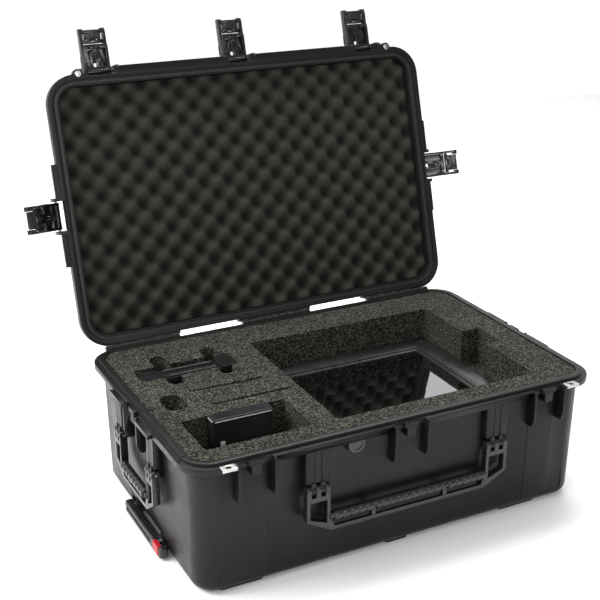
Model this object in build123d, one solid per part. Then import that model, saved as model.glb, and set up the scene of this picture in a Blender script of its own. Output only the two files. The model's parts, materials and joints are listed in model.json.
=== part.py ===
"""Wheeled carrying case for a drone kit, lid open, with its foam inserts and kit pieces.

Row frame: origin on the floor at the centre of the base, +X along the length towards the wheels,
+Y towards the hinge, +Z up. Lengths are in millimetres. The lid and the latches are drawn closed
first and are then turned to their rest pose.
"""
from build123d import *
import math
import os

# ---------------------------------------------------------------- driving dimensions
RIM_Z = 246.0  # top of the base's rim tongue above the floor
FOOT_H = 4.0  # height of the feet and of the channel cover
OPEN_L, OPEN_W, OPEN_R = 736.6, 459.4, 34.0  # mouth of the base, where the foam shows
WALL_L, WALL_W, WALL_R = 746.0, 468.0, 42.0  # outside of the walls just under the rim
LEAN = 5.0  # how far each wall leans in by the bottom
BOTTOM_R = 18.0  # rounding between the walls and the bottom
FLOOR_Z = 11.0  # inside floor of the base
FOAM_GAP = 4.6  # foam's distance from the channel and the wheel wells, past their 4 mm walls
SEAM = 0.7  # the floor's solids end this far under the inside floor
FLANGE_L, FLANGE_W, FLANGE_R = 776.0, 500.0, 55.0  # rim flange of base and lid
TONGUE_L, TONGUE_W, TONGUE_R = 757.0, 480.0, 45.0  # raised tongue on the base's rim
TONGUE_H = 5.0
FLANGE_H = 11.0  # height of the rim band below the tongue
FIT = 0.5  # clearance between moving bodies

EYE_PLATE = 1.6  # thickness of the padlock plates
EYE_R = 4.5

HINGE_Y = FLANGE_W / 2 + 4.3
HINGE_Z = RIM_Z - 6.1
LID_OPEN = 106.4  # degrees from closed to the stop
KNUCKLE_R = 6.0
HINGE_PIN_R = 2.5
HINGE_X = (-277.0, 0.0, 277.0)
HINGE_SPAN = 146.0
KNUCKLES = 9

LID_H = 57.0  # outside of the lid's top above the rim
LID_DEPTH = 51.0  # inside of the lid's top above the rim
LID_RIB_H = 11.0
LID_FOAM_GAP = 6.0  # closed, the lid foam's crests stay this far above the rim

LATCH_X = 277.0  # outer front latches, either side of the middle one
LATCH_W = 50.0
LATCH_L = 80.0
PIVOT_OUT = 4.0  # latch pivot, outside the flange's face
PIVOT_UP = 30.0  # latch pivot above the rim
LATCH_PIN_R = 2.6
FRONT_OPEN = 90.0  # latch angle at rest, from closed
LEFT_OPEN, RIGHT_OPEN = 50.0, 65.0
STRIKE_TOP = -5.0
STRIKE_LOW = -12.5  # underside of the strike's ledge, below the rim
RIB_X = 31.0  # guard ribs beside each latch
RIB_T = 4.0

FRONT_GRIP = (150.0, 192.0)  # inner and outer edge of a front handle leg
END_GRIP = (62.0, 94.0)
HANDLE_AXIS = (3.0, -85.0)  # inward of the flange's face, and below the rim
HANDLE_LOW = -163.0
GRIP_AXIS = (-2.0, -137.0)
GRIP_R = 8.5
HANDLE_PIN_R = 2.5

TUBE_Y = 60.0  # pull handle tubes, either side of the middle
TUBE_Z = 17.0
TUBE_R = 8.0
CHANNEL_W = 172.0
CHANNEL_TOP = 31.0
CHANNEL_X = (-333.0, 152.0)

WHEEL_X, WHEEL_Y, WHEEL_Z = 343.0, 165.0, 42.0
WHEEL_R, WHEEL_W = 38.0, 22.0
AXLE_R = 4.0

FOAM_TOP = RIM_Z - 1.5
FOAM_CUT = RIM_Z - 75.0  # seam between the top and the lower foam block
FOAM_PAD = 50.0  # seam between the lower block and the bottom pad

os.makedirs("parts", exist_ok=True)
PARTS = {}


# ---------------------------------------------------------------- shape helpers
def box(x0, x1, y0, y1, z0, z1):
    """Plain block between two corners."""
    block = Box(x1 - x0, y1 - y0, z1 - z0, align=(Align.MIN, Align.MIN, Align.MIN))
    return Pos(x0, y0, z0) * block


def slab(length, width, radius, z0, z1, x=0.0, y=0.0):
    """Block with rounded upright edges, centred on x, y."""
    return Pos(x, y, z0) * extrude(RectangleRounded(length, width, radius), z1 - z0)


def pocket(x0, x1, y0, y1, z0, z1, radius):
    """Slab between two corners."""
    return slab(x1 - x0, y1 - y0, radius, z0, z1, (x0 + x1) / 2, (y0 + y1) / 2)


def leaning(low, high, z0, z1):
    """Loft from one rounded rectangle (length, width, radius) to another."""
    bottom = Plane.XY.offset(z0) * RectangleRounded(*low)
    top = Plane.XY.offset(z1) * RectangleRounded(*high)
    return loft([bottom, top])


def rod(radius, length, axis="X", at=(0, 0, 0)):
    """Cylinder centred on a point, along X, Y or Z."""
    turn = {"X": Rot(0, 90, 0), "Y": Rot(90, 0, 0), "Z": Rot(0, 0, 0)}[axis]
    return Pos(*at) * turn * Cylinder(radius, length)


def prism_x(points, x0, x1):
    """Outline in Y and Z, extruded along X."""
    face = Plane.YZ.offset(x0) * make_face(Polyline(*points, close=True))
    return extrude(face, x1 - x0, dir=(1, 0, 0))


def soften(shape, radius, chosen):
    """Fillet the chosen edges, or leave them sharp where the kernel cannot."""
    try:
        return fillet(chosen(shape), radius)
    except Exception:
        print("left sharp", radius)
        return shape


def at_x(value):
    return Plane.YZ.offset(value)


def at_y(value):
    return Plane.XZ.offset(-value)


def at_z(value):
    return Plane.XY.offset(value)


def cut(pieces, plane, where=None):
    """Divide solids by a plane, or only those whose centres pass a test."""
    divided = ShapeList()
    for piece in pieces:
        if where is None or where(piece.center()):
            divided += split(piece, bisect_by=plane, keep=Keep.BOTH).solids()
        else:
            divided.append(piece)
    return divided


def save(name, shape):
    PARTS[name] = shape


def save_group(name, solids):
    PARTS[name] = Compound(children=list(solids))


# ---------------------------------------------------------------- placing
FLANGE_X, FLANGE_Y = FLANGE_L / 2, FLANGE_W / 2
# A station's frame: origin on the flange's outer face at rim height, -Y outwards.
FRONT = Pos(0, -FLANGE_Y, RIM_Z)
LEFT = Pos(-FLANGE_X, 0, RIM_Z) * Rot(0, 0, -90)
RIGHT = Pos(FLANGE_X, 0, RIM_Z) * Rot(0, 0, 90)
STATIONS = {
    "front_left": (FRONT * Pos(-LATCH_X, 0, 0), FRONT_OPEN),
    "front_middle": (FRONT, FRONT_OPEN),
    "front_right": (FRONT * Pos(LATCH_X, 0, 0), FRONT_OPEN),
    "left_end": (LEFT, LEFT_OPEN),
    "right_end": (RIGHT, RIGHT_OPEN),
}
HANDLES = {"front": (FRONT, FRONT_GRIP), "left": (LEFT, END_GRIP), "right": (RIGHT, END_GRIP)}
OPEN_LID = Pos(0, HINGE_Y, HINGE_Z) * Rot(-LID_OPEN, 0, 0) * Pos(0, -HINGE_Y, -HINGE_Z)


def open_latch(angle):
    """Turn a closed latch, drawn in its station's frame, outwards about its pivot."""
    return Pos(0, -PIVOT_OUT, PIVOT_UP) * Rot(-angle, 0, 0) * Pos(0, PIVOT_OUT, -PIVOT_UP)


# ---------------------------------------------------------------- hinge
def knuckle_spans(owner, middle):
    """X spans of one group's barrels on base (even places) or lid (odd places)."""
    pitch = HINGE_SPAN / KNUCKLES
    first = 0 if owner == "base" else 1
    start = middle - HINGE_SPAN / 2
    return [(start + place * pitch + FIT / 2, start + (place + 1) * pitch - FIT / 2)
            for place in range(first, KNUCKLES, 2)]


def leaf(owner, middle):
    """One group's barrels, their webs, and the strip that joins the webs."""
    y, z = HINGE_Y, HINGE_Z
    if owner == "base":
        outline = [(y - 22, z - 1), (y, z - 1), (y + 4, z - 4.4), (y - 8, z - 26), (y - 22, z - 36)]
        strip = (y - 22, y - 13, z - 30, z - 22)
    else:
        outline = [(y - 6, z + 1), (y + 1, z + 1), (y + 4, z + 4.4), (y - 3, z + 24), (y - 12, z + 24),
                   (y - 12, z + 7)]
        strip = (y - 12, y - 6, z + 19, z + 24)
    spans = knuckle_spans(owner, middle)
    solid = box(spans[0][0], spans[-1][1], *strip)
    for x0, x1 in spans:
        solid += rod(KNUCKLE_R, x1 - x0, "X", ((x0 + x1) / 2, y, z))
        solid += prism_x(outline, x0, x1)
    return solid - rod(HINGE_PIN_R + 0.05, HINGE_SPAN + 2, "X", (middle, y, z))


def hinge_gaps():
    """Daylight between the hinge groups, where both flanges are set back."""
    spans = ((-200, -77), (77, 200))
    return [box(x0, x1, FLANGE_Y - 5.2, FLANGE_Y + 5, RIM_Z - 20, RIM_Z + 14) for x0, x1 in spans]


def hinge_relief(extra=0.8):
    """Room that the barrels need in the flanges."""
    reliefs = [rod(KNUCKLE_R + extra, HINGE_SPAN + 2, "X", (x, HINGE_Y, HINGE_Z)) for x in HINGE_X]
    return reliefs


# ---------------------------------------------------------------- base shell
def rib_outline(low):
    """Guard rib beside a latch, in Y and Z of the station's frame."""
    return [(20, -6), (-5, -6), (-6, -9), (-6, low + 14), (-2, low + 3), (4, low), (20, low)]


def strike():
    """Ledge that a latch's hook pulls against, with the ribs that guard it."""
    ledge = box(-13, 13, -2, 12, STRIKE_LOW, STRIKE_TOP)
    web = box(-8, 8, -1, 20, STRIKE_LOW - 17, STRIKE_LOW + 1)
    ribs = [prism_x(rib_outline(-72), s * RIB_X - RIB_T / 2, s * RIB_X + RIB_T / 2) for s in (-1, 1)]
    return [ledge + web, *ribs]


def leg_segments(inner, outer):
    """Five places across a handle leg, outermost first: prong, finger, prong, finger, prong."""
    gap = FIT
    width = (outer - inner - 4 * gap) / 5
    return [(outer - (n + 1) * width - n * gap, outer - n * (width + gap)) for n in range(5)]


def mirrored(span, side):
    """An X span on the right side, or its mirror image on the left."""
    return span if side > 0 else (-span[1], -span[0])


def handle_bracket(grip):
    """Two columns under the rim with the fingers that hold a handle's pins."""
    inner, outer = grip
    ay, az = HANDLE_AXIS
    columns = []
    for side in (-1, 1):
        x0, x1 = mirrored((inner, outer), side)
        column = box(x0, x1, 0, 22, az + 13, -12)
        grooves = [box(x0 + f * (x1 - x0) - 0.8, x0 + f * (x1 - x0) + 0.8, -1, 1.2, az + 13, -17)
                   for f in (0.36, 0.64)]
        column -= grooves
        for place in (1, 3):
            f0, f1 = mirrored(leg_segments(inner, outer)[place], side)
            finger = rod(8.0, f1 - f0, "X", ((f0 + f1) / 2, ay, az))
            finger += box(f0, f1, ay - 5, 24, az, az + 14)
            finger += box(f0, f1, ay, 24, az - 8, az + 1)
            column += finger
        bore = rod(HANDLE_PIN_R + 0.05, x1 - x0 + 2, "X", ((x0 + x1) / 2, ay, az))
        columns.append(column - bore)
    return columns


def hasp_places():
    """Padlock eyes, at the two front corners of base and lid."""
    return [(-323.5, -FLANGE_Y - 0.5), (323.5, -FLANGE_Y - 0.5)]


def wheel_well(y, grow=0.0):
    """Room for one wheel in the lower right corner of the base."""
    g = grow
    well = box(WHEEL_X - 45 - g, 420, y - 16 - g, y + 16 + g, -5, WHEEL_Z + 20 + g)
    return well + rod(WHEEL_R + 7 + g, 32 + 2 * g, "Y", (WHEEL_X, y, WHEEL_Z))


def channel(grow=0.0):
    """Recess along the bottom for the pull handle's tubes, open at the left end."""
    half = CHANNEL_W / 2 + grow
    tunnel = box(CHANNEL_X[0] - 60, CHANNEL_X[1] + grow, -half, half, -5, CHANNEL_TOP + grow)
    return tunnel


def base_outside():
    low = (WALL_L - 2 * LEAN, WALL_W - 2 * LEAN, WALL_R - LEAN)
    body = leaning(low, (WALL_L, WALL_W, WALL_R), FOOT_H, RIM_Z - 8)
    return soften(body, BOTTOM_R, lambda s: s.faces().sort_by(Axis.Z)[0].edges())


def base_inside(clear=0.0):
    c2 = 2 * clear
    low = (OPEN_L - 2 * LEAN - c2, OPEN_W - 2 * LEAN - c2, OPEN_R - LEAN)
    return leaning(low, (OPEN_L - c2, OPEN_W - c2, OPEN_R), FLOOR_Z, RIM_Z + 1)


def rim_block():
    """Rim band and tongue, before the mouth is cut."""
    low = RIM_Z - TONGUE_H - FLANGE_H
    band = slab(FLANGE_L, FLANGE_W, FLANGE_R, low, RIM_Z - TONGUE_H)
    band = soften(band, 1.5, lambda s: s.faces().sort_by(Axis.Z)[-1].edges())
    return band + slab(TONGUE_L, TONGUE_W, TONGUE_R, RIM_Z - TONGUE_H - 1, RIM_Z)


def front_panels():
    """Faint raised panels under the outer latches, down to the front feet."""
    lean_angle = math.degrees(math.atan2(LEAN, RIM_Z))
    out = -WALL_W / 2 + 13.6 + LEAN
    return [Pos(x, out, 0) * Rot(lean_angle, 0, 0) * leaning((54, 30, 2), (54, 30, 2), 24, RIM_Z - 20)
            for x in (-LATCH_X, LATCH_X)]


def base_cavity():
    """Room inside the base, around the housings of the tow handle's channel and the wheels."""
    cavity = base_inside()
    cavity -= channel(4.0) & box(-WALL_L, WALL_L, -WALL_W, WALL_W, FLOOR_Z - 1, RIM_Z)
    return cavity - [wheel_well(y, 4.0) for y in (-WHEEL_Y, WHEEL_Y)]


def divide_tub(tub):
    """Divide the tub into wall, floor, corner and housing solids that meet face to face."""
    cx, cy = OPEN_L / 2 - OPEN_R, OPEN_W / 2 - OPEN_R
    half = CHANNEL_W / 2
    end = CHANNEL_X[1]
    pieces = cut(tub.solids(), at_z(FLOOR_Z - SEAM))

    def floor(c):
        return c.Z < FLOOR_Z

    def upper(c):
        return c.Z > FLOOR_Z

    for y in (-half, half):
        pieces = cut(pieces, at_y(y), floor)
    pieces = cut(pieces, at_x(298), lambda c: floor(c) and abs(c.Y) > half)
    for x in (-cx, cx):
        pieces = cut(pieces, at_x(x), upper)
    for y in (-cy, cy):
        pieces = cut(pieces, at_y(y), upper)

    def inside(c):
        return upper(c) and abs(c.X) < cx and abs(c.Y) < cy

    def left_end(c):
        return upper(c) and c.X < -cx and abs(c.Y) < cy

    def right_end(c):
        return upper(c) and c.X > cx and abs(c.Y) < cy

    pieces = cut(pieces, at_z(CHANNEL_TOP), left_end)
    pieces = cut(pieces, at_z(WHEEL_Z + WHEEL_R + 15), right_end)
    pieces = cut(pieces, at_x(288), inside)
    for y in (-half, half):
        pieces = cut(pieces, at_y(y), lambda c: inside(c) and c.X < 280)
    return cut(pieces, at_x(end), lambda c: inside(c) and abs(c.Y) < half)


def divide_rim(rim):
    """Divide the rim into four sides and four corners."""
    cx, cy = OPEN_L / 2 - OPEN_R, OPEN_W / 2 - OPEN_R
    pieces = rim.solids()
    for plane in (at_x(-cx), at_x(cx), at_y(-cy), at_y(cy)):
        pieces = cut(pieces, plane)
    return pieces


def make_base():
    outside = base_outside()
    low_rim = RIM_Z - TONGUE_H - FLANGE_H
    big = 600
    below = box(-big, big, -big, big, -1, low_rim)
    block = (outside + front_panels()) & below
    rim = rim_block()
    cavity = base_cavity()
    wells = [wheel_well(y) for y in (-WHEEL_Y, WHEEL_Y)]
    arches = [wheel_well(y, 4.0) & box(200, WALL_L / 2 - 4, -WALL_W / 2, WALL_W / 2, FOOT_H, RIM_Z)
              for y in (-WHEEL_Y, WHEEL_Y)]
    gate = RIB_X - RIB_T / 2
    # things that stand on the outside of the tub and its rim
    fittings = []
    for station, _ in STATIONS.values():
        rim -= station * box(-gate, gate, -3, 6, -17, 1)
        fittings += [station * piece for piece in strike()]
    rim -= [*hinge_relief(), *hinge_gaps()]
    for station in (LEFT, RIGHT):
        for side in (-1, 1):
            x0, x1 = mirrored((RIB_X + RIB_T / 2, END_GRIP[1]), side)
            fittings.append(station * box(x0, x1, -8, 2, -16, -9))
    for station, grip in HANDLES.values():
        fittings += [station * column for column in handle_bracket(grip)]
    fittings += [leaf("base", x) - box(-big, big, 0, FLANGE_Y - 5, low_rim, RIM_Z) for x in HINGE_X]
    for x in (-140, 140):
        fittings.append(box(x - 3, x + 3, WALL_W / 2 - 14, FLANGE_Y - 8, 60, low_rim))
    for x, y in ((-290, -190), (252, -190), (-290, 190), (252, 190), (0, -204), (0, 204)):
        size = (78, 52, 6) if abs(y) == 190 else (44, 26, 6)
        fittings.append(slab(*size, 0, FOOT_H + 3, x, y))
    tub = (block - cavity) + arches
    tub -= [channel(), *wells]
    solids = ShapeList()
    for fitting in fittings:
        solids += (fitting - outside - front_panels() - rim).solids()
    for y in (-WHEEL_Y, WHEEL_Y):
        tub += [rod(9, 3.4, "Y", (WHEEL_X, y + side * 14.6, WHEEL_Z)) for side in (-1, 1)]
        tub -= rod(AXLE_R + 0.05, 39.5, "Y", (WHEEL_X, y, WHEEL_Z))
    top = RIM_Z - TONGUE_H
    for x, y in hasp_places():
        rim -= box(x - 12.7, x + 12.7, y - 9, y + 8.2, top - EYE_PLATE, top + 3)
        rim -= rod(4.8, 30, "Z", (x, y, top))
    tub -= rod(9.1, 30, "Y", (VALVE_X, -WALL_W / 2, VALVE_Z))
    tub -= rod(16.2, 20, "Y", (VALVE_X, VALVE_FACE - 10, VALVE_Z)) & box(-200, 0, -300, 0, 0, low_rim)
    rim -= cavity
    solids += divide_tub(tub) + divide_rim(rim)
    solids = ShapeList(solid for solid in solids if solid.volume > 1.0)
    print(len(solids), "solids in the base shell")
    save_group("base_shell", solids)


# ---------------------------------------------------------------- pressure valve
VALVE_X = -96.0
VALVE_Z = RIM_Z - 26.0
VALVE_FACE = -WALL_W / 2 + 0.7


def make_valve():
    cap = rod(16.0, 9, "Y", (VALVE_X, VALVE_FACE - 4.5, VALVE_Z))
    cap = soften(cap, 2.0, lambda s: s.faces().sort_by(Axis.Y)[0].edges())
    cap -= rod(9.5, 2.4, "Y", (VALVE_X, VALVE_FACE - 9, VALVE_Z))
    cap += rod(7.5, 3, "Y", (VALVE_X, VALVE_FACE - 7, VALVE_Z))
    cap -= box(VALVE_X - 20, VALVE_X + 20, -300, 0, RIM_Z - 16.2, RIM_Z)
    shank = rod(9.0, 3.6, "Y", (VALVE_X, VALVE_FACE + 1.4, VALVE_Z))
    save("valve_body", cap + shank)


# ---------------------------------------------------------------- foam in the base
DISPLAY = (-101.0, 279.0, -188.0, 150.0)  # x and y of the display unit
DISPLAY_TOP = RIM_Z - 62.0
DISPLAY_LOW = RIM_Z - 142.0
CHARGER = (-290.0, -183.0, -113.0, -87.0)
CHARGER_Z = (RIM_Z - 74.0, RIM_Z + 1.0)
ARM = (-337.0, -158.0, 84.0, 132.0)
ARM_Z = (RIM_Z - 36.0, RIM_Z - 4.0)
BIG_POCKET = (-103.0, 281.0, -190.0, 152.0)
NOTCH = (271.0, 320.0, -47.0, 22.0)
CHARGER_POCKET = (-335.0, -150.0, -190.0, -85.5)
SMALL_POCKET = (-338.0, -302.0, -43.0, 12.0)
SMALL_DEPTH = 55.0
ARM_POCKET = (-338.5, -156.5, 82.5, 133.5)
LOBE_X = (-283.5, -187.0)
LOBE_W = 28.0
LOBE_Y = (51.0, 172.0)
LOBE_DEPTH = 44.0


def slit(x0, y0, x1, y1, depth, width=4.5):
    """Narrow cut in the foam between two points."""
    length = math.hypot(x1 - x0, y1 - y0)
    angle = math.degrees(math.atan2(y1 - y0, x1 - x0))
    block = Box(length, width, depth + 2, align=(Align.CENTER, Align.CENTER, Align.MAX))
    return Pos((x0 + x1) / 2, (y0 + y1) / 2, RIM_Z + 2) * Rot(0, 0, angle) * block


def foam_pockets():
    """Everything cut out of the top foam block, from the pocket's floor up through the rim."""
    top = RIM_Z + 5
    x0, x1, y0, y1 = BIG_POCKET
    nx0, nx1, ny0, ny1 = NOTCH
    ax0, ax1, ay0, ay1 = ARM_POCKET
    cuts = [
        pocket(x0, x1, y0, y1, FOAM_CUT - 5, top, 1.5),
        pocket(x1 - 10, nx1, ny0, ny1, FOAM_CUT - 5, top, 3),
        pocket(x1 - 10, 288, y0, ny0 + 5, FOAM_CUT - 5, top, 1.5),
        pocket(*CHARGER_POCKET, FOAM_CUT - 5, top, 3),
        pocket(*SMALL_POCKET, RIM_Z - SMALL_DEPTH, top, 12),
        pocket(ax0, ax1, ay0, ay1, ARM_Z[0] - 0.5, top, 10),
        slit(-278, 13, -146, 9, 45),
        slit(-264, -50, -120, -49, 45),
    ]
    for x in LOBE_X:
        cuts.append(pocket(x - LOBE_W / 2, x + LOBE_W / 2, *LOBE_Y, RIM_Z - LOBE_DEPTH, top, 12))
    return cuts


def divide_top(block):
    """Divide the top block round its pockets into solids that meet face to face."""
    x0, x1, y0, y1 = BIG_POCKET
    cx0, cx1, cy0, cy1 = CHARGER_POCKET
    sx0, sx1, sy0, sy1 = SMALL_POCKET
    ax0, ax1, ay0, ay1 = ARM_POCKET
    ly0, ly1 = LOBE_Y
    pieces = cut(block.solids(), at_y(y0))
    pieces = cut(pieces, at_y(ly1), lambda c: c.Y > y0)

    def middle(c):
        return y0 < c.Y < ly1

    for x in (cx1, x0, x1, NOTCH[1]):
        pieces = cut(pieces, at_x(x), middle)
    pieces = cut(pieces, at_y(y1), lambda c: middle(c) and x0 < c.X < x1)

    def left(c):
        return middle(c) and c.X < cx1

    for y in (cy1, sy0, sy1, ly0):
        pieces = cut(pieces, at_y(y), left)
    pieces = cut(pieces, at_z(RIM_Z - SMALL_DEPTH), lambda c: left(c) and sy0 < c.Y < sy1)
    for x in (sx0, sx1):
        pieces = cut(pieces, at_x(x), lambda c: left(c) and sy0 < c.Y < sy1 and c.Z > RIM_Z - SMALL_DEPTH)

    def kit(c):
        return left(c) and c.Y > ly0

    pieces = cut(pieces, at_z(RIM_Z - LOBE_DEPTH), kit)

    def kit_top(c):
        return kit(c) and c.Z > RIM_Z - LOBE_DEPTH

    for y in (ay0, ay1):
        pieces = cut(pieces, at_y(y), kit_top)
    for x in (ax0, ax1):
        pieces = cut(pieces, at_x(x), lambda c: kit_top(c) and ay0 < c.Y < ay1)
    return ShapeList(piece for piece in pieces if piece.volume > 1.0)


def divide_pad(pad):
    """Divide the bottom pad round the tow handle's channel and the wheel housings."""
    half = CHANNEL_W / 2 + FOAM_GAP
    well = WHEEL_X - 45 - FOAM_GAP
    pieces = cut(pad.solids(), at_x(well))
    reach = 16 + FOAM_GAP
    for y in (-WHEEL_Y - reach, -WHEEL_Y + reach, WHEEL_Y - reach, WHEEL_Y + reach):
        pieces = cut(pieces, at_y(y), lambda c: c.X > well)
    pieces = cut(pieces, at_z(CHANNEL_TOP + FOAM_GAP), lambda c: c.X < well)
    for y in (-half, half):
        pieces = cut(pieces, at_y(y), lambda c: c.X < well and c.Z < CHANNEL_TOP + FOAM_GAP)
    return ShapeList(piece for piece in pieces if piece.volume > 1.0)


def make_foam():
    inner = base_inside(0.2)
    wells = [wheel_well(y, FOAM_GAP) for y in (-WHEEL_Y, WHEEL_Y)]
    tunnel = channel(FOAM_GAP)
    big = 500

    def layer(z0, z1):
        return inner & box(-big, big, -big, big, z0, z1)

    save_group("foam_bottom_pad", divide_pad(layer(FLOOR_Z, FOAM_PAD) - tunnel - wells))
    x0, x1, y0, y1 = BIG_POCKET
    lower = layer(FOAM_PAD, FOAM_CUT) - wells
    lower -= pocket(x0, x1, y0, y1, DISPLAY_LOW, RIM_Z, 1.5)
    pieces = cut(lower.solids(), at_z(DISPLAY_LOW))
    for plane in (at_y(y0), at_y(y1)):
        pieces = cut(pieces, plane, lambda c: c.Z > DISPLAY_LOW)
    for plane in (at_x(x0), at_x(x1)):
        pieces = cut(pieces, plane, lambda c: c.Z > DISPLAY_LOW and y0 < c.Y < y1)
    save_group("foam_lower_block", [piece for piece in pieces if piece.volume > 1.0])
    top = divide_top(layer(FOAM_CUT, FOAM_TOP) - foam_pockets())
    print(len(top), "solids in the top foam block")
    save_group("foam_top_block", top)


# ---------------------------------------------------------------- kit in the foam
def make_kit():
    x0, x1, y0, y1 = DISPLAY
    bezel_w, bezel_d = 47.0, 6.0
    housing = pocket(x0, x1, y0, y1, DISPLAY_LOW + 0.5, DISPLAY_TOP, 6)
    housing = soften(housing, 2.0, lambda s: s.faces().sort_by(Axis.Z)[-1].edges())
    window = pocket(x0 + bezel_w, x1 - bezel_w, y0 + bezel_w, y1 - bezel_w, DISPLAY_TOP - bezel_d,
                    DISPLAY_TOP + 1, 2)
    step = pocket(x0 + bezel_w - 8, x1 - bezel_w + 8, y0 + bezel_w - 8, y1 - bezel_w + 8,
                  DISPLAY_TOP - 2, DISPLAY_TOP + 1, 3)
    heads = [rod(4.0, 2.0, "Z", (x, y, DISPLAY_TOP)) for x in (x0 + 14, x1 - 14) for y in (y0 + 14, y1 - 14)]
    save("display_housing", housing - window - step - heads)
    save("display_screen", pocket(x0 + bezel_w, x1 - bezel_w, y0 + bezel_w, y1 - bezel_w,
                                  DISPLAY_TOP - bezel_d, DISPLAY_TOP - 3.5, 2))
    save("display_screws", Compound(children=[
        rod(4.0, 1.6, "Z", (x, y, DISPLAY_TOP - 0.2))
        for x in (x0 + 14, x1 - 14) for y in (y0 + 14, y1 - 14)]))

    cx0, cx1, cy0, cy1 = CHARGER
    z0, z1 = CHARGER_Z
    case = pocket(cx0, cx1, cy0, cy1, z0, z1, 3)
    case = soften(case, 1.2, lambda s: s.faces().sort_by(Axis.Z)[-1].edges())
    fins = [box(cx0 + 45, cx1 - 3, cy0 - 1, cy0 + 1.6, z, z + 2.2)
            for z in (z1 - 12 - 5 * n for n in range(8))]
    tops = [box(cx0 + 8, cx1 - 8, y, y + 2.2, z1 - 1.6, z1 + 1) for y in (cy0 + 8, cy0 + 14, cy0 + 20)]
    trim = box(cx0 + 3, cx1 - 3, cy0 - 0.1, cy0 + 1.4, z1 - 4.6, z1 - 2.4)
    side_trim = box(cx0 - 0.1, cx0 + 1.4, cy0 + 3, cy1 - 3, z1 - 4.6, z1 - 2.4)
    clip = box(cx0 + 12, cx0 + 20, cy0 - 0.6, cy0 + 1, z1 - 52, z1 - 40)
    save("charger_case", case - fins - tops - trim - side_trim - clip)
    save_group("charger_trim", [trim, side_trim, clip])

    ax0, ax1, ay0, ay1 = ARM
    z0, z1 = ARM_Z
    mid = (ay0 + ay1) / 2
    left = pocket(ax0 + 1, ax0 + 40, ay0 + 2, ay1 - 4, z0, z1 - 1, 9)
    left -= [rod(4.4, 3, "Z", (ax0 + 14, mid - 1 + s * 9, z1 - 1)) for s in (-1, 1)]
    left += [rod(3.4, 2.4, "Z", (ax0 + 14, mid - 1 + s * 9, z1 - 1.6)) for s in (-1, 1)]
    right = pocket(ax1 - 32, ax1 - 1, ay0 + 1, ay1 - 1, z0, z1, 8)
    right -= pocket(ax1 - 26, ax1 - 7, ay0 + 8, ay1 - 8, z1 - 2, z1 + 1, 5)
    bar = box(ax0 + 30, ax1 - 20, mid - 18, mid + 18, z0 + 4, z1 - 4)
    bar += [box(ax0 + 44, ax1 - 36, mid + y - 4, mid + y + 4, z1 - 5, z1 - 2) for y in (-11, 11)]
    grooves = [box(ax0 + 46, ax1 - 38, mid + y - 2, mid + y + 2, z1 - 8, z1) for y in (-11, 11)]
    ribs = [box(x, x + 2, mid - 5, mid + 5, z1 - 7, z1 - 3.9) for x in range(-285, -200, 12)]
    save("mount_arm", left + right + bar - grooves - ribs)
    rails = [box(ax0 + 47, ax1 - 39, mid + y - 1.6, mid + y + 1.6, z1 - 8, z1 - 1.2) for y in (-11, 11)]
    save_group("mount_arm_rails", rails)


# ---------------------------------------------------------------- lid
def lid_block(z0, z1, top_in=6.0):
    low = (WALL_L + 4, WALL_W + 4, WALL_R + 2)
    high = (WALL_L + 4 - 2 * top_in, WALL_W + 4 - 2 * top_in, WALL_R + 2 - top_in / 2)
    return leaning(low, high, z0, z1)


def latch_ears():
    """Two ears on the lid's flange that hold a latch's pin."""
    ear = [(20, -4), (-8, -4), (-12, 4), (-12, PIVOT_UP + 3), (-7, PIVOT_UP + 8), (0, PIVOT_UP + 8),
           (20, PIVOT_UP + 2)]
    return [prism_x(ear, s * 30.5 - 3, s * 30.5 + 3) for s in (-1, 1)]


def make_lid():
    z = RIM_Z
    shell = lid_block(z + 0.4, z + LID_H)
    shell = soften(shell, 12.0, lambda s: s.faces().sort_by(Axis.Z)[-1].edges())
    flange = slab(FLANGE_L, FLANGE_W, FLANGE_R, z - TONGUE_H + 0.4, z + 12)
    shell += soften(flange, 1.2, lambda s: s.faces().sort_by(Axis.Z)[-1].edges())
    # rail along the front edge between the outer latches
    shell += box(-LATCH_X + 33, LATCH_X - 33, -FLANGE_Y - 10, -FLANGE_Y + 4, z + 2, z + 9)
    for x in (-200, -150, -100, -50, 50, 100, 150, 200):
        shell += prism_x([(-FLANGE_Y - 9, z + 8), (-FLANGE_Y + 4, z + 8), (-FLANGE_Y + 12, z + 30),
                          (-FLANGE_Y + 9, z + 30)], x - 2, x + 2)
    # shoulders beside the end latches
    for station in (LEFT, RIGHT):
        for side in (-1, 1):
            x0, x1 = mirrored((RIB_X - RIB_T / 2, END_GRIP[1]), side)
            shell += station * box(x0, x1, -8, 10, 3, 10)
    # raised ribs on the top
    for x in (-250, -125, 0, 125, 250):
        shell += pocket(x - 22, x + 22, -170, 170, z + LID_H - 2, z + LID_H + LID_RIB_H, 10)
    cavity = leaning((OPEN_L, OPEN_W, OPEN_R), (OPEN_L - 10, OPEN_W - 10, OPEN_R - 4), z - 10, z + LID_DEPTH)
    for station, _ in STATIONS.values():
        gate = RIB_X - RIB_T / 2 - 1.5
        shell -= station * box(-gate, gate, -14, 4, -8, PIVOT_UP + 9)
        shell += [station * ear for ear in latch_ears()]
        pin = rod(LATCH_PIN_R + 0.05, 80, "X", (0, -PIVOT_OUT, PIVOT_UP))
        shell -= station * pin
    for x, y in hasp_places():
        shell += rod(9, 14, "Z", (x, y, z + 5.5))
        shell -= rod(6.0, 40, "Z", (x, y, z))
    shell -= [*hinge_relief(), *hinge_gaps()]
    shell += [leaf("lid", x) for x in HINGE_X]
    # recess for the base's tongue, and the seal's groove above it
    shell -= slab(TONGUE_L + 1.6, TONGUE_W + 1.6, TONGUE_R + 0.8, z - 10, z + 0.4)
    shell -= seal_ring(0.0)
    shell -= cavity
    save("lid_shell", OPEN_LID * shell)


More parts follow.
